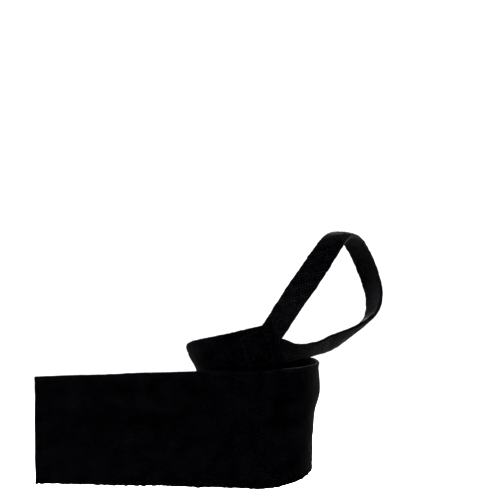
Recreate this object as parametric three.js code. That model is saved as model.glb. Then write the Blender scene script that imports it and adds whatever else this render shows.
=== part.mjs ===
// Boxing hand wrap in its worn form: a woven band wound once round into an oval sleeve, with its tail held
// out to the side, and a thumb loop of narrow tape sewn under the band's first end.
// Millimetres. +Z runs up the sleeve to the loop, -Y is the front, where the band crosses its own start,
// and the tail runs out to -X.
// The origin is on the sleeve's axis, level with the middle of the band where it crosses the front.
import * as THREE from "three";
import { LoftGeometry } from "three/addons/geometries/LoftGeometry.js";

// Driving dimensions
const BAND_WIDTH = 57;
const BAND_THICK = 1.6;
const TAPE_WIDTH = 11.5;
const TAPE_THICK = 1.8;
const TAPE_CROWN = 0.7; // rise of the tape's middle over its edges, where it isn't sewn
const LAYER_GAP = 0.4; // air between cloth that lies on cloth
const OVAL_POWER = 2.4; // 2 is an ellipse, more is squarer
const TAIL_LENGTH = 105.7;
const TAIL_BACK_DEG = 16.3; // how far the tail swings away from the front
const TAIL_FALL = 8.4; // drop of the tail's middle line from the sleeve to its end
const TAIL_FLAT_FROM = 0.35; // share of the tail's length where it has lost the sleeve's curve
const CREASE_DEPTH = 2.2; // long shallow fold in the tail
const CREASE_HEIGHT = 9; // its middle over the tail's middle line
const CREASE_SPREAD = 6;

// Mesh fineness
const TURN_STEP_DEG = 6;
const TAIL_STEPS = 12;
const BAND_COLUMNS = 10;
const TAPE_COLUMNS = 4;
const TAPE_STEPS = 72;

// The inside of the sleeve: half sizes of its oval at each height
const SLEEVE = [
  { z: -34, left: 33.6, right: 28.4, front: 22.6, back: 21.8 },
  { z: -24, left: 32.6, right: 29.2, front: 22.0, back: 21.2 },
  { z: -10, left: 30.4, right: 29.4, front: 21.2, back: 20.4 },
  { z: 4, left: 28.4, right: 30.8, front: 20.8, back: 19.6 },
  { z: 16, left: 27.2, right: 33.3, front: 20.8, back: 19.0 },
  { z: 25, left: 28.2, right: 31.9, front: 21.4, back: 18.6 },
  { z: 35, left: 33.0, right: 32.2, front: 22.4, back: 18.4 },
  { z: 52, left: 35.0, right: 33.0, front: 23.4, back: 18.4 },
];

// The band's middle line round the sleeve: turn is 0 at the front and 90 at the left
const WINDING = [
  { turn: -37, mid: 23.4, lean: 14, lift: 0 },
  { turn: 0, mid: 19.6, lean: 14, lift: 0 },
  { turn: 40, mid: 15.6, lean: 13, lift: 0 },
  { turn: 90, mid: 8.6, lean: 9, lift: 0 },
  { turn: 135, mid: 5.2, lean: 5, lift: 0 },
  { turn: 180, mid: 3.0, lean: 2, lift: 0 },
  { turn: 270, mid: 0.8, lean: 0, lift: 0 },
  { turn: 306, mid: 0.4, lean: 0, lift: 1 },
  { turn: 360, mid: -0.3, lean: 0, lift: 1 },
  { turn: 396, mid: -0.7, lean: 0, lift: 1 },
];

// The loop's free run, up at the front, over the top, down at the back and forward underneath:
// the middle of the tape and the way its outer face looks
const LOOP = [
  { x: 15.0, y: -21.2, z: 55.5, faceX: 0.0, faceY: -1.0, faceZ: -0.1 },
  { x: 22.0, y: -23.2, z: 66.5, faceX: 0.0, faceY: -1.0, faceZ: 0.05 },
  { x: 29.6, y: -22.4, z: 77.0, faceX: -0.05, faceY: -0.98, faceZ: 0.2 },
  { x: 36.2, y: -17.4, z: 86.0, faceX: -0.1, faceY: -0.88, faceZ: 0.46 },
  { x: 41.6, y: -10.0, z: 92.2, faceX: -0.1, faceY: -0.6, faceZ: 0.8 },
  { x: 47.0, y: -1.0, z: 95.0, faceX: 0.05, faceY: -0.1, faceZ: 1.0 },
  { x: 53.0, y: 9.0, z: 92.0, faceX: 0.3, faceY: 0.5, faceZ: 0.8 },
  { x: 59.0, y: 17.0, z: 84.0, faceX: 0.5, faceY: 0.75, faceZ: 0.42 },
  { x: 64.0, y: 20.0, z: 73.0, faceX: 0.65, faceY: 0.75, faceZ: 0.1 },
  { x: 66.4, y: 18.0, z: 62.0, faceX: 0.82, faceY: 0.45, faceZ: -0.35 },
  { x: 64.4, y: 12.0, z: 53.6, faceX: 0.7, faceY: 0.06, faceZ: -0.7 },
  { x: 58.4, y: 4.4, z: 48.3, faceX: 0.57, faceY: -0.18, faceZ: -0.79 },
  { x: 50.0, y: -2.6, z: 43.7, faceX: 0.51, faceY: -0.42, faceZ: -0.75 },
  { x: 40.0, y: -9.6, z: 39.9, faceX: 0.41, faceY: -0.64, faceZ: -0.65 },
  { x: 29.4, y: -16.0, z: 37.3, faceX: 0.25, faceY: -0.6, faceZ: -0.76 },
  { x: 20.4, y: -19.2, z: 36.4, faceX: 0.15, faceY: -0.72, faceZ: -0.68 },
];

// The two sewn ends on the inner side of the band, in the loop's order; layer counts tapes in from the band
const SEWN_UP = [
  { x: -1.5, z: 31.0, layer: 1 },
  { x: 3.5, z: 38.5, layer: 1 },
  { x: 9.2, z: 46.6, layer: 1 },
];
const SEWN_LOW = [
  { x: 12.0, z: 37.4, layer: 2 },
  { x: 4.0, z: 39.0, layer: 2 },
  { x: -5.0, z: 40.6, layer: 2 },
];

const radians = THREE.MathUtils.degToRad;
const lerp = THREE.MathUtils.lerp;

// Reads a table smoothly between its rows, each column by name
function smoothTable(rows, key) {
  const names = Object.keys(rows[0]).filter((name) => name !== key);
  const places = Float64Array.from(rows, (row) => row[key]);
  const values = Float64Array.from(rows.flatMap((row) => names.map((name) => row[name])));
  const curve = new THREE.CubicInterpolant(places, values, names.length);
  return (place) => {
    const found = curve.evaluate(place);
    return Object.fromEntries(names.map((name, i) => [name, found[i]]));
  };
}

const sleeveAt = smoothTable(SLEEVE, "z");
const windingAt = smoothTable(WINDING, "turn");

// Way out of the sleeve's oval at a point of it
function outward(x, y, across, deep) {
  const steep = (part, half) => (Math.sign(part) * Math.abs(part / half) ** (OVAL_POWER - 1)) / half;
  return new THREE.Vector3(steep(x, across), steep(y, deep), 0).normalize();
}

// Point at a turn angle and height, lifted off the inside of the sleeve
function onSleeve(turn, z, lift) {
  const size = sleeveAt(z);
  const across = Math.sin(turn) > 0 ? size.left : size.right;
  const deep = Math.cos(turn) > 0 ? size.front : size.back;
  const sideways = Math.abs(Math.sin(turn) / across) ** OVAL_POWER;
  const inDepth = Math.abs(Math.cos(turn) / deep) ** OVAL_POWER;
  const radius = (sideways + inDepth) ** (-1 / OVAL_POWER);
  const x = -radius * Math.sin(turn);
  const y = -radius * Math.cos(turn);
  return new THREE.Vector3(x, y, z).addScaledVector(outward(x, y, across, deep), lift);
}

// Depth of the sleeve's front at an x and a height
function frontY(x, z) {
  const size = sleeveAt(z);
  const across = x < 0 ? size.left : size.right;
  const reach = Math.max(0, 1 - Math.abs(x / across) ** OVAL_POWER);
  return -size.front * reach ** (1 / OVAL_POWER);
}

// Ring of a strip's section: up the outer face and down the inner one
function ring(columns, pointAt) {
  const outer = [];
  const inner = [];
  for (let i = 0; i <= columns; i++) {
    const across = i / columns - 0.5;
    outer.push(pointAt(across, 1));
    inner.unshift(pointAt(across, 0));
  }
  return [...outer, ...inner];
}

// Section of the wound band at a turn angle in degrees
function woundSection(turnDeg) {
  const { mid, lean, lift } = windingAt(turnDeg);
  const over = lift * (BAND_THICK + LAYER_GAP);
  const middle = onSleeve(radians(turnDeg), mid, 0);
  const radius = Math.hypot(middle.x, middle.y);
  return ring(BAND_COLUMNS, (across, side) => {
    const along = across * BAND_WIDTH;
    const turn = radians(turnDeg) + (along * Math.sin(radians(lean))) / radius;
    const z = mid + along * Math.cos(radians(lean));
    return onSleeve(turn, z, over + side * BAND_THICK);
  });
}

// Section of the tail at a share of its length, leaving along the band's own line
function tailSection(share, root) {
  const back = radians(TAIL_BACK_DEG);
  const heading = new THREE.Vector3(-Math.cos(back), Math.sin(back), 0);
  const faceOut = new THREE.Vector3(-heading.y, heading.x, 0);
  const settle = THREE.MathUtils.smoothstep(share, 0, TAIL_FLAT_FROM);
  return ring(BAND_COLUMNS, (across, side) => {
    const along = across * BAND_WIDTH;
    const crease = Math.exp(-(((along - CREASE_HEIGHT) / CREASE_SPREAD) ** 2)) * Math.sin(Math.PI * share);
    const flat = root.middle
      .clone()
      .addScaledVector(heading, share * TAIL_LENGTH)
      .addScaledVector(faceOut, side * BAND_THICK - CREASE_DEPTH * crease);
    flat.z = root.mid - TAIL_FALL * share + along;
    const held = root.section(across, side).addScaledVector(heading, share * TAIL_LENGTH);
    held.z -= TAIL_FALL * share;
    return held.lerp(flat, settle);
  });
}

function bandGeometry() {
  const first = WINDING[0].turn;
  const last = WINDING.at(-1).turn;
  const turns = Math.round((last - first) / TURN_STEP_DEG);
  const sections = [];
  for (let i = 0; i <= turns; i++) sections.push(woundSection(lerp(first, last, i / turns)));

  const { mid, lift } = windingAt(last);
  const over = lift * (BAND_THICK + LAYER_GAP);
  const root = {
    mid,
    middle: onSleeve(radians(last), mid, over),
    section: (across, side) => onSleeve(radians(last), mid + across * BAND_WIDTH, over + side * BAND_THICK),
  };
  for (let i = 1; i <= TAIL_STEPS; i++) sections.push(tailSection(i / TAIL_STEPS, root));
  return new LoftGeometry(sections, { capStart: true, capEnd: true });
}

// Places along the tape from its upper sewn end, round the loop, to its lower sewn end
function loopStations() {
  const sewn = ({ x, z, layer }) => {
    const inset = layer * (LAYER_GAP + TAPE_THICK) - TAPE_THICK / 2;
    return { point: new THREE.Vector3(x, frontY(x, z) + inset, z), face: new THREE.Vector3(0, -1, 0) };
  };
  const free = (row) => ({
    point: new THREE.Vector3(row.x, row.y, row.z),
    face: new THREE.Vector3(row.faceX, row.faceY, row.faceZ).normalize(),
  });
  return [...SEWN_UP.map(sewn), ...LOOP.map(free), ...SEWN_LOW.map(sewn)];
}

function loopGeometry() {
  const stations = loopStations();
  const path = new THREE.CatmullRomCurve3(stations.map((s) => s.point), false, "centripetal");
  const faces = new THREE.CatmullRomCurve3(stations.map((s) => s.face), false, "centripetal");
  const lastStation = stations.length - 1;
  const firstFree = SEWN_UP.length;
  const lastFree = lastStation - SEWN_LOW.length;
  const sections = [];
  for (let i = 0; i <= TAPE_STEPS; i++) {
    const share = i / TAPE_STEPS;
    const middle = path.getPoint(share);
    const tangent = path.getTangent(share);
    const side = new THREE.Vector3().crossVectors(tangent, faces.getPoint(share)).normalize();
    const face = new THREE.Vector3().crossVectors(side, tangent).normalize();
    const inset = middle.y - frontY(middle.x, middle.z);
    const station = share * lastStation;
    const leaving = THREE.MathUtils.smoothstep(station, firstFree - 1, firstFree + 1);
    const returning = THREE.MathUtils.smoothstep(station, lastFree - 1, lastFree + 1);
    const hug = Math.max(1 - leaving, returning);
    sections.push(
      ring(TAPE_COLUMNS, (across, top) => {
        const out = (top - 0.5) * TAPE_THICK;
        const crown = TAPE_CROWN * (1 - (2 * across) ** 2);
        const flat = middle.clone().addScaledVector(side, across * TAPE_WIDTH);
        const hugging = new THREE.Vector3(flat.x, frontY(flat.x, flat.z) + inset - out, flat.z);
        return flat.addScaledVector(face, out + crown).lerp(hugging, hug);
      }),
    );
  }
  return new LoftGeometry(sections, { capStart: true, capEnd: true });
}

const wovenBlack = new THREE.MeshStandardMaterial({ color: 0x0b0b0e, roughness: 0.92, metalness: 0 });
const tapeBlack = new THREE.MeshStandardMaterial({ color: 0x0e0e11, roughness: 0.88, metalness: 0 });

function piece(name, geometry, material) {
  const mesh = new THREE.Mesh(geometry, material);
  mesh.name = name;
  return mesh;
}

const handWrap = new THREE.Group();
handWrap.add(piece("wrap_band", bandGeometry(), wovenBlack));
handWrap.add(piece("thumb_loop", loopGeometry(), tapeBlack));

export default handWrap;
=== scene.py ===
# Boxing hand wrap in its worn form: the wound band, its loop and the thread that joins them.
# Metres. +Z runs up the sleeve to the loop, -Y is the front, where the band crosses its own start,
# and the tail runs out to -X.
import math

import bmesh
import bpy
import numpy as np
from mathutils import Matrix, Vector, noise
from mathutils.bvhtree import BVHTree


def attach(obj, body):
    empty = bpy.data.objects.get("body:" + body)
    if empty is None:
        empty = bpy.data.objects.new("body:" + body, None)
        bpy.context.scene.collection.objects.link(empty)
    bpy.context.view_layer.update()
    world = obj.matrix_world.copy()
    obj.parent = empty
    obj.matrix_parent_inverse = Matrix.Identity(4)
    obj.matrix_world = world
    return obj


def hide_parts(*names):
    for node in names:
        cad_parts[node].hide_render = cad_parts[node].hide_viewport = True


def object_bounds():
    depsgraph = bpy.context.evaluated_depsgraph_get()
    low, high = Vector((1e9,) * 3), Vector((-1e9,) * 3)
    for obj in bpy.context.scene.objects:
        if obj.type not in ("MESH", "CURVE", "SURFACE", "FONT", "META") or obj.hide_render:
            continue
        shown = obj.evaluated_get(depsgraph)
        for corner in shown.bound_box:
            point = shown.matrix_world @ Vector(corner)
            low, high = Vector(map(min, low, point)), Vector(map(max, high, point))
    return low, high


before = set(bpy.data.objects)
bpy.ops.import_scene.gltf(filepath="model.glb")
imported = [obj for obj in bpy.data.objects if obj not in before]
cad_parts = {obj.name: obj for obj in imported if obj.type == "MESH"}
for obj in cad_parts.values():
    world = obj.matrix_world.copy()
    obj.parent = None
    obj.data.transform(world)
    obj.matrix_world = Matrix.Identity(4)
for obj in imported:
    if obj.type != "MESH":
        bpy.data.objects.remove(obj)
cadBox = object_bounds()
print("frame loaded:", ", ".join(sorted(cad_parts)))

mm = 0.001


class Wire:
    # a shader socket that can stand in a Python sum
    def __init__(self, tree, socket=None):
        self.tree = tree
        self.socket = socket

    def node(self, kind, settings=None, sockets=None, out=0):
        made = self.tree.nodes.new(kind)
        for name, value in (settings or {}).items():
            setattr(made, name, value)
        for name, value in (sockets or {}).items():
            if isinstance(value, Wire):
                self.tree.links.new(value.socket, made.inputs[name])
            else:
                made.inputs[name].default_value = value
        return Wire(self.tree, made.outputs[out])

    def beside(self, out):
        # another output of the same node
        return Wire(self.tree, self.socket.node.outputs[out])

    def maths(self, operation, *values):
        return self.node("ShaderNodeMath", {"operation": operation}, dict(enumerate(values)))

    def __add__(self, other):
        return self.maths("ADD", self, other)

    def __radd__(self, other):
        return self.maths("ADD", other, self)

    def __sub__(self, other):
        return self.maths("SUBTRACT", self, other)

    def __rsub__(self, other):
        return self.maths("SUBTRACT", other, self)

    def __mul__(self, other):
        return self.maths("MULTIPLY", self, other)

    def __rmul__(self, other):
        return self.maths("MULTIPLY", other, self)

    def __abs__(self):
        return self.maths("ABSOLUTE", self)

    def sine(self):
        return self.maths("SINE", self)

    def ease(self, low, high):
        settings = {"interpolation_type": "SMOOTHSTEP"}
        return self.node("ShaderNodeMapRange", settings, {"Value": self, "From Min": low, "From Max": high})

    def grain(self, size, detail=2.0):
        # noise with spots of about that size, in the units of the place
        sockets = {"Vector": self, "Scale": 1 / size, "Detail": detail}
        return self.node("ShaderNodeTexNoise", {}, sockets)

    def blend(self, low, high):
        colours = {0: self, 6: (*low, 1), 7: (*high, 1)}
        return self.node("ShaderNodeMix", {"data_type": "RGBA"}, colours, out=2)

    def feed(self, shader, name):
        self.tree.links.new(self.socket, shader.inputs[name])


def newFinish(name, constants):
    material = bpy.data.materials.new(name)
    material.use_nodes = True
    shader = material.node_tree.nodes["Principled BSDF"]
    for socket, value in constants.items():
        shader.inputs[socket].default_value = value
    return material, shader, Wire(material.node_tree)


def addMesh(name, bm):
    for face in bm.faces:
        face.smooth = True
    mesh = bpy.data.meshes.new(name)
    bm.to_mesh(mesh)
    bm.free()
    made = bpy.data.objects.new(name, mesh)
    bpy.context.scene.collection.objects.link(made)
    return made


def smoothTable(rows):
    # reads the columns smoothly between rows, keyed by the first column
    keys = np.array([row[0] for row in rows])
    values = np.array([row[1:] for row in rows])
    steps = np.diff(keys)
    secants = np.diff(values, axis=0) / steps[:, None]
    slopes = np.vstack([secants[:1], (secants[1:] + secants[:-1]) / 2, secants[-1:]])

    def read(key):
        i = min(max(int(np.searchsorted(keys, key)) - 1, 0), len(steps) - 1)
        p = min(max((key - keys[i]) / steps[i], 0.0), 1.0)
        rise = p * p * (3 - 2 * p)
        start = p * (1 - p) * (1 - p) * steps[i]
        end = p * p * (p - 1) * steps[i]
        return values[i] * (1 - rise) + values[i + 1] * rise + slopes[i] * start + slopes[i + 1] * end

    return read


def smoothStep(value, low, high):
    p = min(max((value - low) / (high - low), 0.0), 1.0)
    return p * p * (3 - 2 * p)


def bell(distance, spread):
    return math.exp(-((distance / spread) ** 2))


def wave(place, pitch):
    return math.sin(2 * math.pi * place / pitch)


def spots(size, *place):
    # noise between about -1 and 1 with spots of that size
    return noise.noise(Vector([p / size for p in (*place, 0.0, 0.0)[:3]]))


# the oval sleeve that the band is wound on
sleeve = {
    # height, then half sizes to the left, right, front and back
    "rows": [
        (-0.034, 0.0336, 0.0284, 0.0226, 0.0218),
        (-0.024, 0.0326, 0.0292, 0.0220, 0.0212),
        (-0.010, 0.0304, 0.0294, 0.0212, 0.0204),
        (0.004, 0.0284, 0.0308, 0.0208, 0.0196),
        (0.016, 0.0272, 0.0333, 0.0208, 0.0190),
        (0.025, 0.0282, 0.0319, 0.0214, 0.0186),
        (0.035, 0.0330, 0.0322, 0.0224, 0.0184),
        (0.052, 0.0350, 0.0330, 0.0234, 0.0184),
    ],
    "ovalPower": 2.4,
}
sleeveAt = smoothTable(sleeve["rows"])


def wayOut(x, y, across, deep):
    power = sleeve["ovalPower"] - 1
    steepX = math.copysign(abs(x / across) ** power, x) / across
    steepY = math.copysign(abs(y / deep) ** power, y) / deep
    return Vector((steepX, steepY, 0)).normalized()


def onSleeve(turn, z, lift):
    # turn is 0 at the front and grows to the left
    left, right, front, back = sleeveAt(z)
    power = sleeve["ovalPower"]
    across = left if math.sin(turn) > 0 else right
    deep = front if math.cos(turn) > 0 else back
    reach = abs(math.sin(turn) / across) ** power + abs(math.cos(turn) / deep) ** power
    x = -math.sin(turn) * reach ** (-1 / power)
    y = -math.cos(turn) * reach ** (-1 / power)
    return Vector((x, y, z)) + wayOut(x, y, across, deep) * lift


def frontY(x, z):
    left, right, front = sleeveAt(z)[:3]
    across = left if x < 0 else right
    reach = max(0.0, 1 - abs(x / across) ** sleeve["ovalPower"])
    return -front * reach ** (1 / sleeve["ovalPower"])


band = {
    "width": 0.057,
    "thick": 0.0015,
    "bodyShare": 0.74,  # thickness of the cloth between the selvages, as a share
    "selvage": 0.0026,
    "selvageFlat": 0.0010,  # the outermost part has the whole thickness
    "rim": 0.0005,
    "rimSteps": 2,
    "columns": 840,
    "rows": 46,
    "layer": 0.0020,  # one pass over another
    # turn in degrees, height of the middle line, lean in degrees, passes below
    "winding": [
        (-37, 0.0234, 14, 0),
        (0, 0.0196, 14, 0),
        (40, 0.0156, 13, 0),
        (90, 0.0086, 9, 0),
        (135, 0.0052, 5, 0),
        (180, 0.0030, 2, 0),
        (270, 0.0008, 0, 0),
        (306, 0.0004, 0, 1),
        (360, -0.0003, 0, 1),
        (396, -0.0007, 0, 1),
    ],
    "lengthSteps": 220,
    # the outer pass sinks below the inner pass's lower edge, turns in degrees
    "overlapFrom": 270,
    "settleFrom": 290,
    "settleTo": 325,
    "settleDepth": 0.0012,
    "settleReach": 0.009,
    "crossRadius": 0.0215,  # of the sleeve, where the two passes cross
    # where a selvage is pulled in or out: turn in degrees, spread, +1 upper or -1 lower edge, move
    "edgePulls": [
        (20, 60, 1, -0.0005),
        (84, 18, 1, -0.0022),
        (288, 24, -1, 0.0030),
        (348, 24, -1, -0.0010),
    ],
    # where an edge stands off the sleeve, in the same columns
    "edgeFlares": [(277, 16, 1, 0.0008)],
    "edgeHold": 0.016,  # how far in both of them reach
    "tailLength": 0.1057,
    "tailBack": math.radians(16.3),
    "tailFall": 0.0084,
    "tailFlatFrom": 0.35,
    "creaseDepth": 0.0024,
    "creaseHeight": 0.009,
    "creaseSpread": 0.0058,
    # uneven edges, rougher on the lower one
    "frayReach": 0.004,
    "frayLow": 0.00110,
    "frayHigh": 0.00042,
    "fraySize": 0.0033,
    "fraySeed": 7,
    "weftLoops": 0.00008,
    "wander": 0.0005,
    "wanderSize": 0.028,
    # relief on the faces
    "ribPitch": 0.0016,
    "ribRise": 0.00005,
    "ribWander": 0.0009,
    "ribWanderSize": 0.007,
    "crepeRise": 0.00016,
    "crepeSize": 0.0026,
    "crepeSqueeze": (1.2, 0.55),  # along and across
    "foldRise": 0.0010,
    "foldSize": 0.011,
    "foldSqueeze": (0.45, 0.45, 1.3),
    "woundShare": 0.6,  # the wound part is pulled flatter than the tail
    "sewnFlat": (0.014, 0.034),  # no folds before the first, all of them after the second
    "looseSize": 0.012,
    "looseSqueeze": 0.22,
    "looseSeed": 4.0,
    "looseFrom": -0.01,  # from where the tail leaves the winding
    "looseTo": 0.03,
    "grooveIn": 0.0031,  # the selvage ends in a shallow groove
    "grooveDepth": 0.00018,
    "grooveSpread": 0.0006,
}
windingAt = smoothTable(band["winding"])
firstTurn = band["winding"][0][0]
lastTurn = band["winding"][-1][0]
halfBand = band["width"] / 2


def innerPassEdge(turnDeg):
    # height of the inner pass's lower edge where the outer pass crosses it
    lean = windingAt(turnDeg - 360)[1]
    shift = math.degrees(halfBand * math.sin(math.radians(lean)) / band["crossRadius"])
    mid, lean = windingAt(turnDeg - 360 + shift)[:2]
    return mid - halfBand * math.cos(math.radians(lean))


def edgeShare(table, turnDeg, across):
    # sums the rows of a table of edge moves at one place on the band
    total = 0.0
    for centre, spread, side, move in band[table]:
        hold = smoothStep(across * side, halfBand - band["edgeHold"], halfBand)
        total += move * hold * bell(turnDeg - centre, spread)
    return total


def bandLift(turnDeg, across, z):
    # distance from the sleeve to the middle of the cloth
    passes = windingAt(turnDeg)[2]
    lift = band["thick"] / 2 + passes * band["layer"] + edgeShare("edgeFlares", turnDeg, across)
    if turnDeg > band["overlapFrom"]:
        sink = smoothStep(innerPassEdge(turnDeg) - z, 0, band["settleReach"])
        lift -= band["settleDepth"] * sink * smoothStep(turnDeg, band["settleFrom"], band["settleTo"])
    return lift


def woundPoint(turnDeg, across):
    mid, lean = windingAt(turnDeg)[:2]
    middle = onSleeve(math.radians(turnDeg), mid, 0)
    turn = turnDeg + math.degrees(across * math.sin(math.radians(lean)) / middle.xy.length)
    z = mid + across * math.cos(math.radians(lean))
    return onSleeve(math.radians(turn), z, bandLift(turnDeg, across, z))


def tailPoint(share, across):
    # share is 0 where the tail leaves the winding and 1 at its cut end
    back = band["tailBack"]
    heading = Vector((-math.cos(back), math.sin(back), 0))
    face = Vector((-math.sin(back), -math.cos(back), 0))
    mid = windingAt(lastTurn)[0]
    run = heading * share * band["tailLength"]
    drop = Vector((0, 0, band["tailFall"] * share))
    held = woundPoint(lastTurn, across) + run - drop
    crease = bell(across - band["creaseHeight"], band["creaseSpread"]) * math.sin(math.pi * share)
    flat = onSleeve(math.radians(lastTurn), mid, band["thick"] / 2 + band["layer"]) + run - drop
    flat = flat - face * band["creaseDepth"] * crease + Vector((0, 0, across))
    return held.lerp(flat, smoothStep(share, 0, band["tailFlatFrom"]))


# the strip's length along its middle line gives the flat size and keeps the weave even
turnMarks = np.linspace(firstTurn, lastTurn, band["lengthSteps"])
midPoints = [woundPoint(turn, 0) for turn in turnMarks]
midSteps = [(b - a).length for a, b in zip(midPoints, midPoints[1:])]
lengthMarks = np.concatenate([[0], np.cumsum(midSteps)])
woundLength = float(lengthMarks[-1])
bandLength = woundLength + band["tailLength"]


def turnAt(along):
    return float(np.interp(along, lengthMarks, turnMarks))


def bandPoint(along, across):
    if along <= woundLength:
        return woundPoint(turnAt(along), across)
    return tailPoint((along - woundLength) / band["tailLength"], across)


def bandEdge(along, across):
    # the selvage wanders a little and shows the loops of the weft
    near = smoothStep(abs(across), halfBand - band["frayReach"], halfBand)
    rough = band["frayLow"] if across < 0 else band["frayHigh"]
    loops = band["weftLoops"] * wave(along, band["ribPitch"])
    uneven = rough * spots(band["fraySize"], along, math.copysign(band["fraySeed"], across))
    wander = band["wander"] * spots(band["wanderSize"], along, across)
    move = near * (math.copysign(loops + uneven, across) + wander)
    if along < woundLength:
        move += edgeShare("edgePulls", turnAt(along), across)
    return across + move


def bandRelief(along, across, point):
    wander = band["ribWander"] * spots(band["ribWanderSize"], along, across)
    ribs = wave(along + wander, band["ribPitch"])
    squeezeAlong, squeezeAcross = band["crepeSqueeze"]
    crepe = spots(band["crepeSize"], along * squeezeAlong, across * squeezeAcross)
    onTail = smoothStep(along, woundLength + band["looseFrom"], woundLength + band["looseTo"])
    wound = spots(band["foldSize"], *[p * squeeze for p, squeeze in zip(point, band["foldSqueeze"])])
    wound *= band["woundShare"] * smoothStep(along, *band["sewnFlat"])
    loose = spots(band["looseSize"], along * band["looseSqueeze"], across, band["looseSeed"])
    folds = wound * (1 - onTail) + loose * onTail
    groove = bell(halfBand - abs(across) - band["grooveIn"], band["grooveSpread"])
    body = band["ribRise"] * ribs + band["crepeRise"] * crepe
    return body + band["foldRise"] * folds - band["grooveDepth"] * groove


edgeRowShare = 0.6  # how far the rows of a strip crowd to its edges
leastWeight = 0.01
softestCorner = math.radians(50)  # edges sharper than this are rounded


def clothStrip(name, length, cloth, edge, place, relief):
    # a flat strip is woven first, then laid where it belongs
    bm = bmesh.new()
    flat = bm.loops.layers.uv.new("flat")
    bmesh.ops.create_grid(bm, x_segments=cloth["columns"], y_segments=cloth["rows"], size=1)
    cuts = []
    for v in bm.verts:
        closer = (1 - edgeRowShare) * v.co.y + edgeRowShare * math.sin(v.co.y * math.pi / 2)
        cuts.append(((v.co.x + 1) / 2 * length, closer * cloth["width"] / 2))
    bm.verts.index_update()
    for face in bm.faces:
        for loop in face.loops:
            along, across = cuts[loop.vert.index]
            loop[flat].uv = (along / mm, across / mm)
    for v, (along, across) in zip(bm.verts, cuts):
        v.co = place(along, edge(along, across))
    bmesh.ops.recalc_face_normals(bm, faces=bm.faces[:])
    bm.normal_update()
    moves = [v.normal * relief(along, across, v.co) for v, (along, across) in zip(bm.verts, cuts)]
    for v, move in zip(bm.verts, moves):
        v.co += move
    return addMesh(name, bm), cuts


def giveThickness(piece, cloth, thinShare, fullness):
    # fullness is 1 where the cloth has its whole thickness and 0 where it has the thin share
    group = piece.vertex_groups.new(name="fullness")
    for index, full in enumerate(fullness):
        group.add([index], leastWeight + (1 - 2 * leastWeight) * full, "REPLACE")
    solid = piece.modifiers.new("cloth thickness", "SOLIDIFY")
    solid.thickness = cloth["thick"]
    solid.offset = 0
    solid.use_even_offset = True
    solid.vertex_group = group.name
    solid.thickness_vertex_group = thinShare
    soft = piece.modifiers.new("soft edge", "BEVEL")
    soft.width = cloth["rim"]
    soft.segments = cloth["rimSteps"]
    soft.limit_method = "ANGLE"
    soft.angle_limit = softestCorner


# what both weaves share
yarn = {
    "detail": 3.0,
    "edgeRise": 0.2,
    "edgeLight": 0.12,
    "edgeRough": 0.05,
    "patchLight": 0.6,
    "patchRough": 0.16,
}


def weaveBlack(name, look):
    # black yarn: two crossed sets of yarns, fuzz, and darker or dustier patches
    material, shader, wire = newFinish(name, look["shader"])
    place = wire.node("ShaderNodeUVMap", {"uv_map": "flat"})
    along = wire.node("ShaderNodeSeparateXYZ", {}, {0: place})
    across = along.beside(1)
    wander = (place.grain(look["wanderSize"]) - 0.5) * look["wander"]
    weft = ((along + wander) * (2 * math.pi / look["weftPitch"])).sine()
    warp = ((across + wander) * (2 * math.pi / look["warpPitch"])).sine()
    weave = weft * warp
    fuzz = place.grain(look["fuzzSize"], yarn["detail"])
    patches = place.grain(look["patchSize"], yarn["detail"])
    edge = abs(across).ease(look["half"] - look["selvage"], look["half"])
    height = weave * look["weaveShare"] + fuzz * (1 - look["weaveShare"]) + edge * yarn["edgeRise"]
    sockets = {"Strength": look["bump"], "Distance": look["bumpDepth"], "Height": height}
    wire.node("ShaderNodeBump", {}, sockets).feed(shader, "Normal")
    lit = look["lit"] + weave * look["contrast"] + (patches - 0.5) * yarn["patchLight"]
    lit = lit + (fuzz - 0.5) * look["speckle"] + edge * yarn["edgeLight"]
    lit.blend(look["deep"], look["worn"]).feed(shader, "Base Color")
    rough = look["roughness"] - (patches - 0.5) * yarn["patchRough"] + edge * yarn["edgeRough"]
    rough.feed(shader, "Roughness")
    return material


# sizes in millimetres, as the flat map is, apart from the bump's depth
bandFinish = {
    "shader": {"Specular IOR Level": 0.015, "Sheen Weight": 0.003, "Sheen Roughness": 0.45},
    "half": halfBand / mm,
    "selvage": 2.4,
    "weftPitch": 1.7,
    "warpPitch": 1.5,
    "wander": 0.7,
    "wanderSize": 7.0,
    "fuzzSize": 1.0,
    "patchSize": 8.0,
    "weaveShare": 0.55,
    "bump": 0.7,
    "bumpDepth": 0.00028,
    "roughness": 0.88,
    "lit": 0.18,
    "contrast": 0.42,
    "speckle": 1.5,
    "deep": (0.0003, 0.0003, 0.0004),
    "worn": (0.0090, 0.0088, 0.0108),
}


def makeBand():
    piece, cuts = clothStrip("band_cloth", bandLength, band, bandEdge, bandPoint, bandRelief)
    thickFrom = halfBand - band["selvage"]
    thickTo = halfBand - band["selvageFlat"]
    fullness = [smoothStep(abs(across), thickFrom, thickTo) for along, across in cuts]
    giveThickness(piece, band, band["bodyShare"], fullness)
    piece.data.materials.append(weaveBlack("woven black band", bandFinish))
    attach(piece, "root")
    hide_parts("wrap_band")
    print("band laid, flat length", round(bandLength, 4))
    return piece


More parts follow.
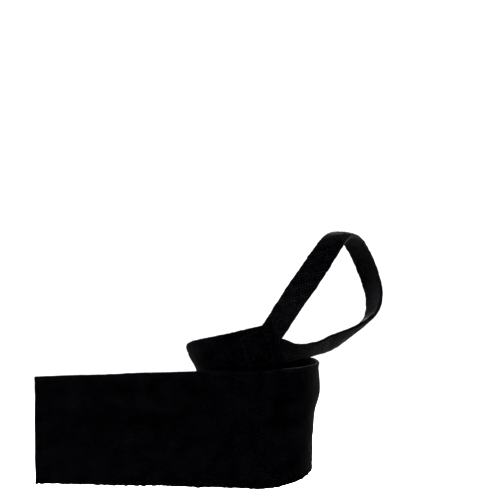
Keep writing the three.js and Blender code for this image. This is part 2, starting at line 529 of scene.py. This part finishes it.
thumbLoop = {
    "width": 0.0115,
    "thick": 0.0017,
    "rim": 0.0005,
    "rimSteps": 3,
    "columns": 620,
    "rows": 22,
    "crown": 0.0007,
    "tangentReach": 0.0005,
    # sewn ends: x, z, tapes in from the band
    "sewnUp": [(-0.0015, 0.0310, 1), (0.0035, 0.0385, 1), (0.0092, 0.0466, 1)],
    "sewnLow": [(0.0120, 0.0374, 2), (0.0040, 0.0390, 2), (-0.0050, 0.0406, 2)],
    "sewnShare": 0.7,  # stitches press the sewn ends flatter
    "sewnRelief": 0.35,
    "sewnReach": 0.003,
    "bandGap": 0.00035,
    "tapeGap": 0.00025,
    "stepFrom": 0.0004,  # past the upper end's edge, the lower end steps out to the band
    "stepTo": 0.0045,
    # free run: middle of the tape, then the way its outer face looks
    "run": [
        (0.0150, -0.0212, 0.0555, 0.0, -1.0, -0.1),
        (0.0220, -0.0232, 0.0665, 0.0, -1.0, 0.05),
        (0.0296, -0.0224, 0.0770, -0.05, -0.98, 0.2),
        (0.0362, -0.0174, 0.0860, -0.1, -0.88, 0.46),
        (0.0416, -0.0100, 0.0922, -0.1, -0.6, 0.8),
        (0.0470, -0.0010, 0.0950, 0.05, -0.1, 1.0),
        (0.0530, 0.0090, 0.0920, 0.3, 0.5, 0.8),
        (0.0590, 0.0170, 0.0840, 0.5, 0.75, 0.42),
        (0.0640, 0.0200, 0.0730, 0.65, 0.75, 0.1),
        (0.0664, 0.0180, 0.0620, 0.82, 0.45, -0.35),
        (0.0644, 0.0120, 0.0536, 0.7, 0.06, -0.7),
        (0.0584, 0.0044, 0.0483, 0.57, -0.18, -0.79),
        (0.0500, -0.0026, 0.0437, 0.51, -0.42, -0.75),
        (0.0400, -0.0096, 0.0399, 0.41, -0.64, -0.65),
        (0.0294, -0.0160, 0.0373, 0.25, -0.6, -0.76),
        (0.0204, -0.0192, 0.0364, 0.15, -0.72, -0.68),
    ],
    # uneven edges: rise, size of the spots, seed
    "edgeUneven": [(0.00055, 0.0048, 11), (0.00008, 0.0019, 5)],
    "edgeFrom": 0.003,
    "edgeLoops": 0.00002,
    # the tape's chunky weave, which is closer at the edges
    "knotAlong": 0.0026,
    "knotAcross": 0.0023,
    "knotRise": 0.00012,
    "knotWander": 0.0006,
    "knotWanderSize": 0.006,
    "closeShare": 0.85,
    "closeFrom": 0.0036,
    "closeTo": 0.0054,
    "unevenRise": 0.00022,
    "unevenSize": 0.0035,
}
halfTape = thumbLoop["width"] / 2
pressed = thumbLoop["thick"] * thumbLoop["sewnShare"]
tapeStep = pressed + thumbLoop["tapeGap"]


def loopRows():
    # every row keyed by the distance from the upper sewn end
    def sewn(x, z, layer):
        inset = thumbLoop["bandGap"] + pressed / 2 + (layer - 1) * tapeStep
        return (x, frontY(x, z) + inset, z, 0.0, -1.0, 0.0)

    places = [sewn(*row) for row in thumbLoop["sewnUp"]]
    places += thumbLoop["run"]
    places += [sewn(*row) for row in thumbLoop["sewnLow"]]
    rows = []
    distance = 0.0
    for i, place in enumerate(places):
        if i:
            distance += (Vector(place[:3]) - Vector(places[i - 1][:3])).length
        rows.append((distance, *place))
    return rows


tapeRows = loopRows()
tapeAt = smoothTable(tapeRows)
tapeLength = tapeRows[-1][0]
upperCount = len(thumbLoop["sewnUp"])
lowerCount = len(thumbLoop["sewnLow"])
leaveFrom = tapeRows[upperCount - 1][0]
leaveTo = tapeRows[upperCount + 1][0]
backFrom = tapeRows[-lowerCount - 2][0]
backTo = tapeRows[-lowerCount][0]


def freeShare(along, reach=0.0):
    # 0 on the sewn ends and 1 on the free run
    leave = smoothStep(along, leaveFrom - reach, leaveTo)
    back = smoothStep(along, backFrom, backTo + reach)
    return leave * (1 - back)


def pastUpperEnd(x, z):
    # how far the lower sewn end has left the upper one behind
    x0, z0 = thumbLoop["sewnUp"][0][:2]
    x1, z1 = thumbLoop["sewnUp"][-1][:2]
    leftOf = ((z - z0) * (x1 - x0) - (x - x0) * (z1 - z0)) / math.hypot(x1 - x0, z1 - z0)
    return smoothStep(leftOf, halfTape + thumbLoop["stepFrom"], halfTape + thumbLoop["stepTo"])


def tapePoint(along, across):
    row = tapeAt(along)
    middle = Vector(row[:3])
    ahead = Vector(tapeAt(min(along + thumbLoop["tangentReach"], tapeLength))[:3])
    behind = Vector(tapeAt(max(along - thumbLoop["tangentReach"], 0))[:3])
    tangent = (ahead - behind).normalized()
    side = tangent.cross(Vector(row[3:])).normalized()
    face = side.cross(tangent).normalized()
    flat = middle + side * across
    inset = middle.y - frontY(middle.x, middle.z)
    if along > backFrom:
        inset -= tapeStep * pastUpperEnd(flat.x, flat.z)
    hugging = Vector((flat.x, frontY(flat.x, flat.z) + inset, flat.z))
    crown = thumbLoop["crown"] * (1 - (across / halfTape) ** 2)
    return (flat + face * crown).lerp(hugging, 1 - freeShare(along))


def tapeEdge(along, across):
    near = smoothStep(abs(across), thumbLoop["edgeFrom"], halfTape)
    move = thumbLoop["edgeLoops"] * wave(along, thumbLoop["knotAlong"])
    for rise, size, seed in thumbLoop["edgeUneven"]:
        move += rise * spots(size, along, math.copysign(seed, across))
    return across + near * math.copysign(move, across)


def tapeRelief(along, across, point):
    wander = thumbLoop["knotWander"] * spots(thumbLoop["knotWanderSize"], along, across)
    knots = wave(along + wander, thumbLoop["knotAlong"]) * wave(across, thumbLoop["knotAcross"])
    closer = smoothStep(abs(across), thumbLoop["closeFrom"], thumbLoop["closeTo"])
    knots *= 1 - thumbLoop["closeShare"] * closer
    uneven = spots(thumbLoop["unevenSize"], along, across)
    rise = thumbLoop["knotRise"] * knots + thumbLoop["unevenRise"] * uneven
    return rise * (thumbLoop["sewnRelief"] + (1 - thumbLoop["sewnRelief"]) * freeShare(along))


# millimetres again
tapeFinish = {
    "shader": {"Specular IOR Level": 0.03, "Sheen Weight": 0.005, "Sheen Roughness": 0.4},
    "half": halfTape / mm,
    "selvage": 1.2,
    "weftPitch": 1.9,
    "warpPitch": 1.64,
    "wander": 0.6,
    "wanderSize": 5.0,
    "fuzzSize": 1.2,
    "patchSize": 4.0,
    "weaveShare": 0.5,
    "bump": 0.8,
    "bumpDepth": 0.0003,
    "roughness": 0.84,
    "lit": 0.20,
    "contrast": 0.55,
    "speckle": 1.8,
    "deep": (0.0004, 0.0004, 0.0006),
    "worn": (0.0135, 0.0135, 0.0158),
}


def makeLoop():
    piece, cuts = clothStrip("loop_tape", tapeLength, thumbLoop, tapeEdge, tapePoint, tapeRelief)
    fullness = [freeShare(along, thumbLoop["sewnReach"]) for along, across in cuts]
    giveThickness(piece, thumbLoop, thumbLoop["sewnShare"], fullness)
    piece.data.materials.append(weaveBlack("black loop tape", tapeFinish))
    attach(piece, "root")
    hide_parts("thumb_loop")
    print("loop laid, flat length", round(tapeLength, 4))
    return piece


stitching = {
    "length": 0.0020,
    "step": 0.0031,
    "thread": 0.00042,
    "sunk": 0.00006,
    "segments": 8,
    "rings": 5,
    "steepest": 0.0012,  # a stitch that would fall further than this is left out
    # a crossed box through both tape ends, in the band's flat sizes from its first end and its middle
    "boxFrom": 0.0030,
    "boxTo": 0.0150,
    "boxLow": 0.0098,
    "boxHigh": 0.0256,
    # thread shows on both faces: where a stitch is dropped from, and the way it falls
    "drops": [(-0.1, 1), (0.0, -1)],
    "shader": {"Specular IOR Level": 0.08},
    "deep": (0.0008, 0.0008, 0.0010),
    "worn": (0.0032, 0.0032, 0.0038),
    "twistSize": 0.0004,
    "twistRough": 0.2,
    "roughness": 0.5,
}


def threadBlack():
    material, shader, wire = newFinish("black sewing thread", stitching["shader"])
    place = wire.node("ShaderNodeTexCoord", out=3)
    twist = place.grain(stitching["twistSize"])
    twist.blend(stitching["deep"], stitching["worn"]).feed(shader, "Base Color")
    (stitching["roughness"] + twist * stitching["twistRough"]).feed(shader, "Roughness")
    return material


def joinRows():
    # each row runs from x, z to x, z on the front
    near, far = stitching["boxFrom"], stitching["boxTo"]
    low, high = stitching["boxLow"], stitching["boxHigh"]
    corners = ((near, low), (far, low), (far, high), (near, high))
    a, b, c, d = [bandPoint(*corner).xz for corner in corners]
    return [(a, b), (b, c), (c, d), (d, a), (a, c), (b, d)]


def addStitch(bm, first, last, way):
    lay = last - first
    seat = (first + last) / 2 + Vector((0, way, 0)) * stitching["sunk"]
    turn = lay.to_track_quat("X", "Z").to_matrix().to_4x4()
    half = stitching["thread"] / 2
    size = Matrix.Diagonal((lay.length / 2 + half, half, half, 1))
    bmesh.ops.create_uvsphere(
        bm,
        u_segments=stitching["segments"],
        v_segments=stitching["rings"],
        radius=1,
        matrix=Matrix.Translation(seat) @ turn @ size,
    )


def sewJoin(cloths):
    graph = bpy.context.evaluated_depsgraph_get()
    trees = [BVHTree.FromObject(cloth, graph) for cloth in cloths]

    def meet(start, way):
        hits = [tree.ray_cast(start, way) for tree in trees]
        hits = [hit for hit in hits if hit[0] is not None]
        return min(hits, key=lambda hit: hit[3])[0] if hits else None

    bm = bmesh.new()
    for begin, end in joinRows():
        span = (end - begin).length
        count = max(2, round(span / stitching["step"]))
        reach = stitching["length"] / 2 / span
        for i in range(count):
            middle = (i + 0.5) / count
            x0, z0 = begin.lerp(end, middle - reach)
            x1, z1 = begin.lerp(end, middle + reach)
            for start, way in stitching["drops"]:
                first = meet(Vector((x0, start, z0)), Vector((0, way, 0)))
                last = meet(Vector((x1, start, z1)), Vector((0, way, 0)))
                if first is None or last is None:
                    continue
                if abs(first.y - last.y) <= stitching["steepest"]:
                    addStitch(bm, first, last, way)
    piece = addMesh("join_stitches", bm)
    piece.data.materials.append(threadBlack())
    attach(piece, "root")
    print("join sewn, faces", len(piece.data.polygons))
    return piece


stage = {
    "floor": -0.30,
    "flatRadius": 2.0,
    "bend": 0.8,
    "bendSteps": 12,
    "wallTop": 2.6,
    "steps": 72,
    "weld": 0.0001,
    "shader": {"Roughness": 0.9, "Specular IOR Level": 0.1},
    "colour": (0.90, 0.90, 0.895),
    "shade": 0.985,
    "shadeSize": 0.4,
}


def makeStage():
    # a round floor that sweeps up into a wall on every side
    bm = bmesh.new()
    points = [(0, 0, stage["floor"]), (stage["flatRadius"], 0, stage["floor"])]
    for i in range(1, stage["bendSteps"] + 1):
        angle = math.pi / 2 * i / stage["bendSteps"]
        reach = stage["flatRadius"] + stage["bend"] * math.sin(angle)
        points.append((reach, 0, stage["floor"] + stage["bend"] * (1 - math.cos(angle))))
    points.append((stage["flatRadius"] + stage["bend"], 0, stage["wallTop"]))
    profile = [bm.verts.new(point) for point in points]
    edges = [bm.edges.new(pair) for pair in zip(profile, profile[1:])]
    bmesh.ops.spin(
        bm,
        geom=profile + edges,
        axis=(0, 0, 1),
        cent=(0, 0, 0),
        angle=2 * math.pi,
        steps=stage["steps"],
        use_merge=True,
    )
    bmesh.ops.remove_doubles(bm, verts=bm.verts[:], dist=stage["weld"])
    bmesh.ops.recalc_face_normals(bm, faces=bm.faces[:])
    sweep = addMesh("pale_sweep", bm)
    material, shader, wire = newFinish("pale sweep", stage["shader"])
    place = wire.node("ShaderNodeTexCoord", out=3)
    shaded = [c * stage["shade"] for c in stage["colour"]]
    place.grain(stage["shadeSize"]).blend(shaded, stage["colour"]).feed(shader, "Base Color")
    sweep.data.materials.append(material)
    print("stage set")


room = {
    # place, width, watts
    "lamps": {
        "key": ((-0.40, -0.75, 0.50), 0.45, 6),
        "back right": ((0.85, 0.62, 0.40), 0.40, 42),
        "back": ((-0.05, 1.05, 0.45), 0.40, 36),
        "back left": ((-0.90, 0.50, 0.40), 0.40, 42),
    },
    "white": (1, 1, 1, 1),
    "strength": 0.85,
    # deep shadows, as in the photograph
    "gamma": 0.75,
    "blackLevel": 0.0045,
}


def makeLights():
    aim = (cadBox[0] + cadBox[1]) / 2
    for name, (place, width, watts) in room["lamps"].items():
        lamp = bpy.data.lights.new(name, "AREA")
        lamp.size = width
        lamp.energy = watts
        holder = bpy.data.objects.new(name, lamp)
        holder.location = place
        holder.rotation_euler = (aim - Vector(place)).to_track_quat("-Z", "Y").to_euler()
        bpy.context.scene.collection.objects.link(holder)
    world = bpy.data.worlds.new("pale room")
    world.use_nodes = True
    glow = world.node_tree.nodes["Background"]
    glow.inputs["Color"].default_value = room["white"]
    glow.inputs["Strength"].default_value = room["strength"]
    bpy.context.scene.world = world
    tone = bpy.context.scene.view_settings
    tone.view_transform = "Standard"
    tone.gamma = room["gamma"]
    tone.use_curve_mapping = True
    tone.curve_mapping.black_level = [room["blackLevel"]] * 3
    tone.curve_mapping.update()
    print("lights set:", ", ".join(room["lamps"]))


view = {"eye": (-0.00157, -0.363, 0.087), "lens": 50, "sensor": 36, "nearest": 0.01}


def makeCamera():
    lens = bpy.data.cameras.new("photo view")
    lens.lens = view["lens"]
    lens.sensor_width = view["sensor"]
    lens.clip_start = view["nearest"]
    holder = bpy.data.objects.new("photo view", lens)
    holder.location = view["eye"]
    holder.rotation_euler = (math.pi / 2, 0, 0)  # level, looking along +Y
    bpy.context.scene.collection.objects.link(holder)
    bpy.context.scene.camera = holder
    print("camera set")


makeCamera()
makeStage()
makeLights()
bandCloth = makeBand()
loopTape = makeLoop()
stitches = sewJoin([bandCloth, loopTape])
